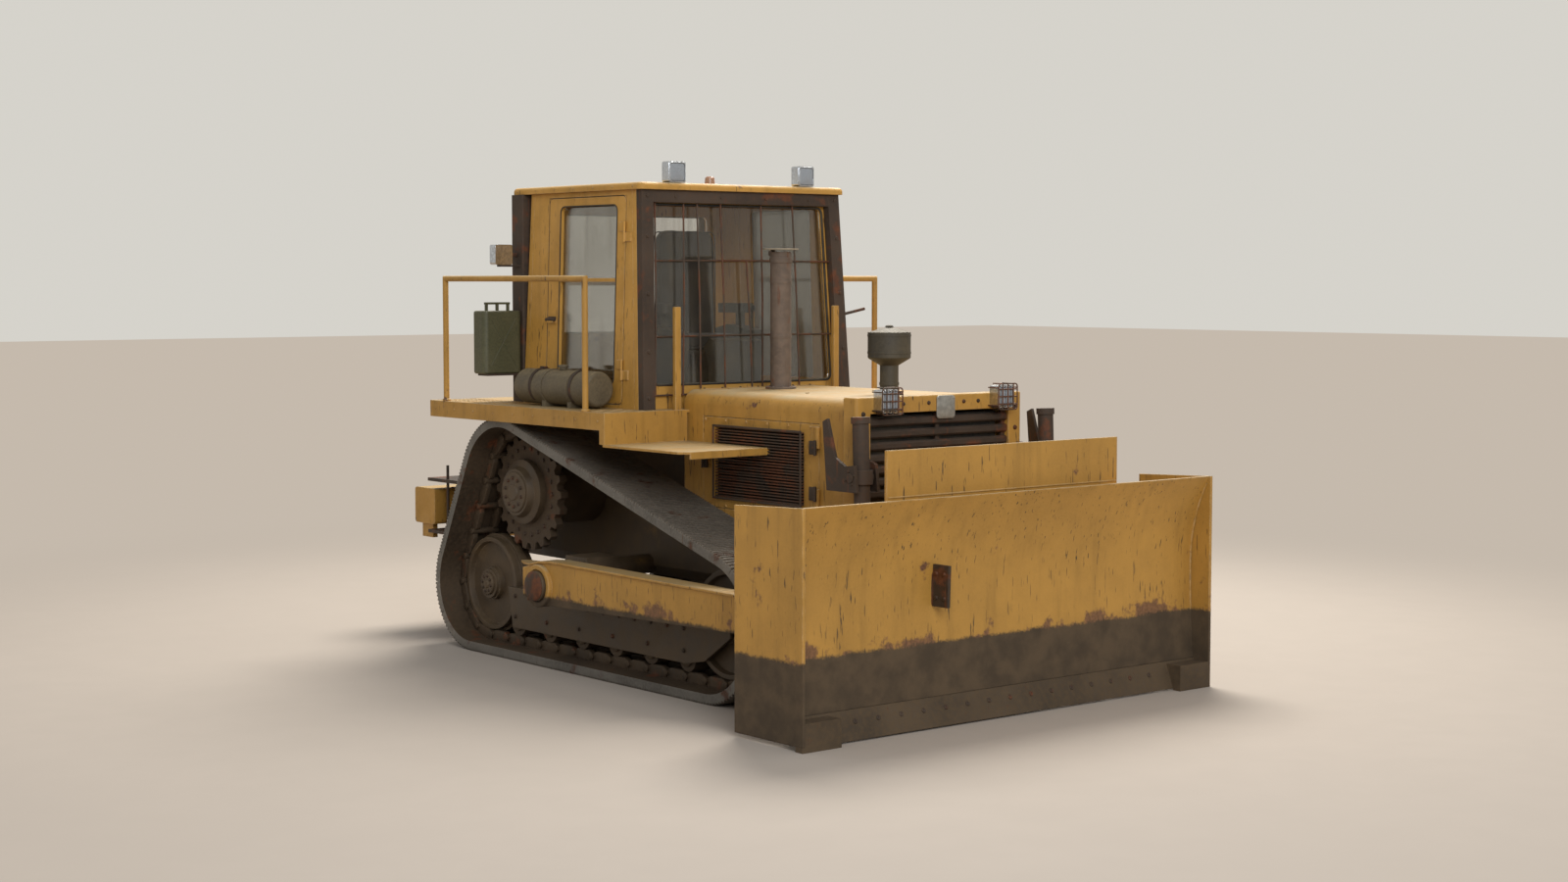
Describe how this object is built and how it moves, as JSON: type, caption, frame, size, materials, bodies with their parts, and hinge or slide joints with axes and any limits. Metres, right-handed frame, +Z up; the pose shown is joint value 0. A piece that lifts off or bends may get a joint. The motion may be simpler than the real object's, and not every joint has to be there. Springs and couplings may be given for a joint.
{
  "type": "crawler bulldozer",
  "caption": "High drive crawler bulldozer with an enclosed cab and a straight blade on two outside push arms; the blade, left cab door and exhaust lid move.",
  "frame": {"origin": "on the ground under the middle of the bounding box", "axes": "+Z up; -Y towards the blade, +Y towards the tool beam; +X to the machine's left"},
  "size_m": [3.58, 5.82, 3.57],
  "materials": {
    "paint": "worn",
    "dark_iron": "rusty",
    "track_steel": "worn",
    "edge_steel": "worn",
    "engine_iron": "satin",
    "radiator_core": "matte",
    "barrel_paint": "worn",
    "rod_chrome": "polished",
    "lamp_chrome": "worn",
    "wire_rust": "rusty",
    "cleaner_grey": "dull",
    "tank_olive": "worn",
    "can_green": "worn",
    "beacon_orange": "clear",
    "cab_glass": "tinted",
    "seat_cover": "worn",
    "seat_base": "dull"
  },
  "bodies": {
    "frame": {"hull": "paint", "platform": "paint", "decks": "paint", "hood": "paint", "hood_bulkhead": "paint", "engine_doors": "paint", "rear_case": "paint", "cab_sides": "paint", "cab_front": "paint", "cab_rear": "paint", "cab_roof": "paint", "cab_door_right": "paint", "rails_left": "paint", "rail_right": "paint", "grab_posts": "paint", "rear_beam": "paint", "rear_frame_plates": "paint", "roller_frames": "paint", "final_drives": "paint", "radiator_guard": "paint", "idlers": "paint", "front_guard_frame": "dark_iron", "rear_posts": "dark_iron", "lift_yokes": "dark_iron", "engine_louvres": "dark_iron", "grille": "dark_iron", "track_rollers": "dark_iron", "track_left": "track_steel", "track_right": "track_steel", "sprockets": "track_steel", "engine_block": "engine_iron", "radiator": "radiator_core", "lamps": "lamp_chrome", "lamp_cages": "wire_rust", "exhaust_stack": "wire_rust", "precleaner": "cleaner_grey", "deck_tank": "tank_olive", "fuel_can": "can_green", "beacon": "beacon_orange", "cab_glass": "cab_glass", "seat_cushion": "seat_cover", "seat_back": "seat_cover", "seat_pedestal": "seat_base", "cab_controls": "seat_base"},
    "blade": {"mouldboard": "paint", "cutting_edge": "edge_steel", "spill_guard": "paint", "face_lug": "dark_iron", "push_arms": "paint"},
    "barrel_left": {"lift_barrel_left": "barrel_paint"},
    "barrel_right": {"lift_barrel_right": "barrel_paint"},
    "rod_left": {"lift_rod_left": "rod_chrome"},
    "rod_right": {"lift_rod_right": "rod_chrome"},
    "door_left": {"cab_door_left": "paint", "door_glass_left": "cab_glass"},
    "cap": {"rain_cap": "wire_rust"}
  },
  "joints": [
    {"name": "blade_lift", "type": "hinge", "parent": "frame", "child": "blade", "pos_m": [0, 0.39, 0.62], "axis": [-1, 0, 0], "range_deg": [-5, 13]},
    {"name": "barrel_left_swing", "type": "hinge", "parent": "frame", "child": "barrel_left", "pos_m": [0.815, -2.31, 1.52], "axis": [-1, 0, 0], "range_deg": [-1.75, 4.5]},
    {"name": "rod_left_slide", "type": "slide", "parent": "barrel_left", "child": "rod_left", "axis": [0, 0.0384, 0.9993], "range_m": [-0.2414, 0.6267]},
    {"name": "barrel_right_swing", "type": "hinge", "parent": "frame", "child": "barrel_right", "pos_m": [-0.815, -2.31, 1.52], "axis": [-1, 0, 0], "range_deg": [-1.75, 4.5]},
    {"name": "rod_right_slide", "type": "slide", "parent": "barrel_right", "child": "rod_right", "axis": [0, 0.0384, 0.9993], "range_m": [-0.2414, 0.6267]},
    {"name": "door_left_swing", "type": "hinge", "parent": "frame", "child": "door_left", "pos_m": [0.9306, 0.09, 2.5], "axis": [0.0329, 0, -0.9995], "range_deg": [0, 85]},
    {"name": "rain_cap_lift", "type": "hinge", "parent": "frame", "child": "cap", "pos_m": [0, -0.4185, 2.956], "axis": [-1, 0, 0], "range_deg": [0, 70]}
  ],
  "couplings": [
    {"joint": "barrel_left_swing", "follows": "blade_lift", "ratio": 0.345},
    {"joint": "rod_left_slide", "follows": "blade_lift", "m_per_rad": 2.76},
    {"joint": "barrel_right_swing", "follows": "blade_lift", "ratio": 0.345},
    {"joint": "rod_right_slide", "follows": "blade_lift", "m_per_rad": 2.76}
  ]
}
